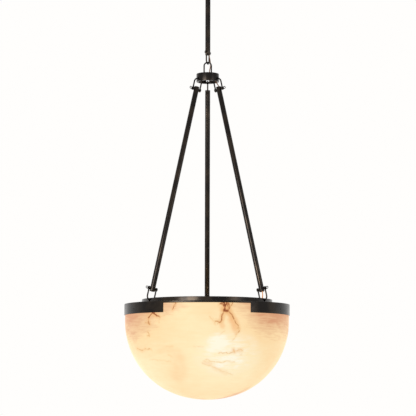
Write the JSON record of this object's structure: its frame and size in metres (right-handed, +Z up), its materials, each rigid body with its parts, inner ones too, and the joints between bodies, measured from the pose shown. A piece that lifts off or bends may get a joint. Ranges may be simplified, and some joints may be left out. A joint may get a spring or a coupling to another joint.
{
  "type": "bowl pendant light",
  "caption": "Alabaster bowl pendant light on shackled rods that meet at a hub, hung by a jointed stem from a round canopy, with a lamp cluster inside the bowl.",
  "frame": {"origin": "on the ceiling, in the middle of the canopy's open face", "axes": "+Z up into the ceiling, -Y towards the front, +X to the right seen from the front; the fixture hangs along -Z"},
  "size_m": [0.5084, 0.5084, 1.4614],
  "materials": {
    "dark_bronze": "near-black bronze, satin",
    "zinc_steel": "zinc plated",
    "ground_green": "green",
    "connector_plastic": "matt",
    "lead_insulation": "smooth",
    "amber_cable": "smooth, translucent amber",
    "black_rubber": "matt",
    "alabaster": "polished, translucent cream with rust-brown veins, lit from inside",
    "white_ceramic": "unglazed",
    "brass": "plain",
    "frosted_glass": "frosted"
  },
  "bodies": {
    "canopy": {"canopy": "dark_bronze", "canopy_backing_plate": "zinc_steel", "canopy_bail": "dark_bronze", "canopy_bail_nuts": "zinc_steel", "canopy_bushing": "black_rubber", "mounting_crossbar": "zinc_steel", "crossbar_studs": "zinc_steel", "canopy_cap_nuts": "dark_bronze", "ground_screw": "ground_green", "wire_connectors": "connector_plastic", "canopy_cable": "amber_cable", "supply_leads": "lead_insulation"},
    "upper_shackle": {"upper_shackle": "dark_bronze", "upper_shackle_pin": "dark_bronze", "upper_cable_loop": "amber_cable"},
    "stem": {"stem": "dark_bronze", "stem_cable": "amber_cable"},
    "lower_shackle": {"lower_shackle": "dark_bronze", "lower_shackle_pin": "dark_bronze", "lower_cable_loop": "amber_cable"},
    "hub": {"hub": "dark_bronze", "hub_bail": "dark_bronze", "hub_bail_nuts": "zinc_steel", "hub_bushing": "black_rubber", "hub_cable": "amber_cable"},
    "back_hanger": {"back_top_shackle": "dark_bronze", "back_rod": "dark_bronze", "back_bottom_shackle": "dark_bronze", "back_eye_pins": "dark_bronze"},
    "left_hanger": {"left_top_shackle": "dark_bronze", "left_rod": "dark_bronze", "left_bottom_shackle": "dark_bronze", "left_eye_pins": "dark_bronze"},
    "right_hanger": {"right_top_shackle": "dark_bronze", "right_rod": "dark_bronze", "right_bottom_shackle": "dark_bronze", "right_eye_pins": "dark_bronze", "rod_cable": "amber_cable"},
    "bowl": {"bowl_ring": "dark_bronze", "hanging_ring": "dark_bronze", "alabaster_bowl": "alabaster", "rim_gasket": "black_rubber", "bowl_set_screws": "dark_bronze", "lamp_spider": "dark_bronze", "spider_screws": "dark_bronze", "cluster_pipe": "dark_bronze", "cluster_cup": "dark_bronze", "cluster_nipple": "zinc_steel", "cluster_nuts": "zinc_steel", "lamp_arms": "zinc_steel", "lampholder_1": "white_ceramic", "lampholder_2": "white_ceramic", "lampholder_3": "white_ceramic", "lampholder_contacts": "brass", "bulb_1": "frosted_glass", "bulb_2": "frosted_glass", "bulb_3": "frosted_glass", "bulb_bases": "brass", "lamp_wiring": "amber_cable", "cable_clips": "dark_bronze"}
  },
  "joints": [
    {"name": "upper_shackle_swing", "type": "hinge", "parent": "canopy", "child": "upper_shackle", "pos_m": [0, 0, -0.062], "axis": [1, 0, 0], "range_deg": [-45, 45]},
    {"name": "stem_swing", "type": "hinge", "parent": "upper_shackle", "child": "stem", "pos_m": [0, 0, -0.0932], "axis": [-0.342, -0.9397, 0], "range_deg": [-45, 45], "deforming": ["upper_cable_loop"]},
    {"name": "lower_shackle_swing", "type": "hinge", "parent": "stem", "child": "lower_shackle", "pos_m": [0, 0, -0.3822], "axis": [-0.342, -0.9397, 0], "range_deg": [-30, 30], "deforming": ["lower_cable_loop"]},
    {"name": "hub_swing", "type": "hinge", "parent": "lower_shackle", "child": "hub", "pos_m": [0, 0, -0.4134], "axis": [1, 0, 0], "range_deg": [-30, 30]},
    {"name": "bowl_twist", "type": "hinge", "parent": "hub", "child": "bowl", "pos_m": [0, 0, -1.1707], "axis": [0, 0, 1], "range_deg": [-8, 8], "deforming": ["lamp_wiring"]},
    {"name": "back_hanger_swing", "type": "hinge", "parent": "hub", "child": "back_hanger", "pos_m": [0, 0.0323, -0.4673], "axis": [0, 0.9726, 0.2324], "range_deg": [-2.3, 2.3]},
    {"name": "left_hanger_swing", "type": "hinge", "parent": "hub", "child": "left_hanger", "pos_m": [-0.02797, -0.01615, -0.4673], "axis": [-0.8423, -0.4863, 0.2324], "range_deg": [-2.3, 2.3]},
    {"name": "right_hanger_swing", "type": "hinge", "parent": "hub", "child": "right_hanger", "pos_m": [0.02797, -0.01615, -0.4673], "axis": [0.8423, -0.4863, 0.2324], "range_deg": [-2.3, 2.3], "deforming": ["hub_cable"]}
  ],
  "couplings": [
    {"joint": "back_hanger_swing", "follows": "bowl_twist", "ratio": 0.27753},
    {"joint": "left_hanger_swing", "follows": "bowl_twist", "ratio": 0.27753},
    {"joint": "right_hanger_swing", "follows": "bowl_twist", "ratio": 0.27753}
  ]
}
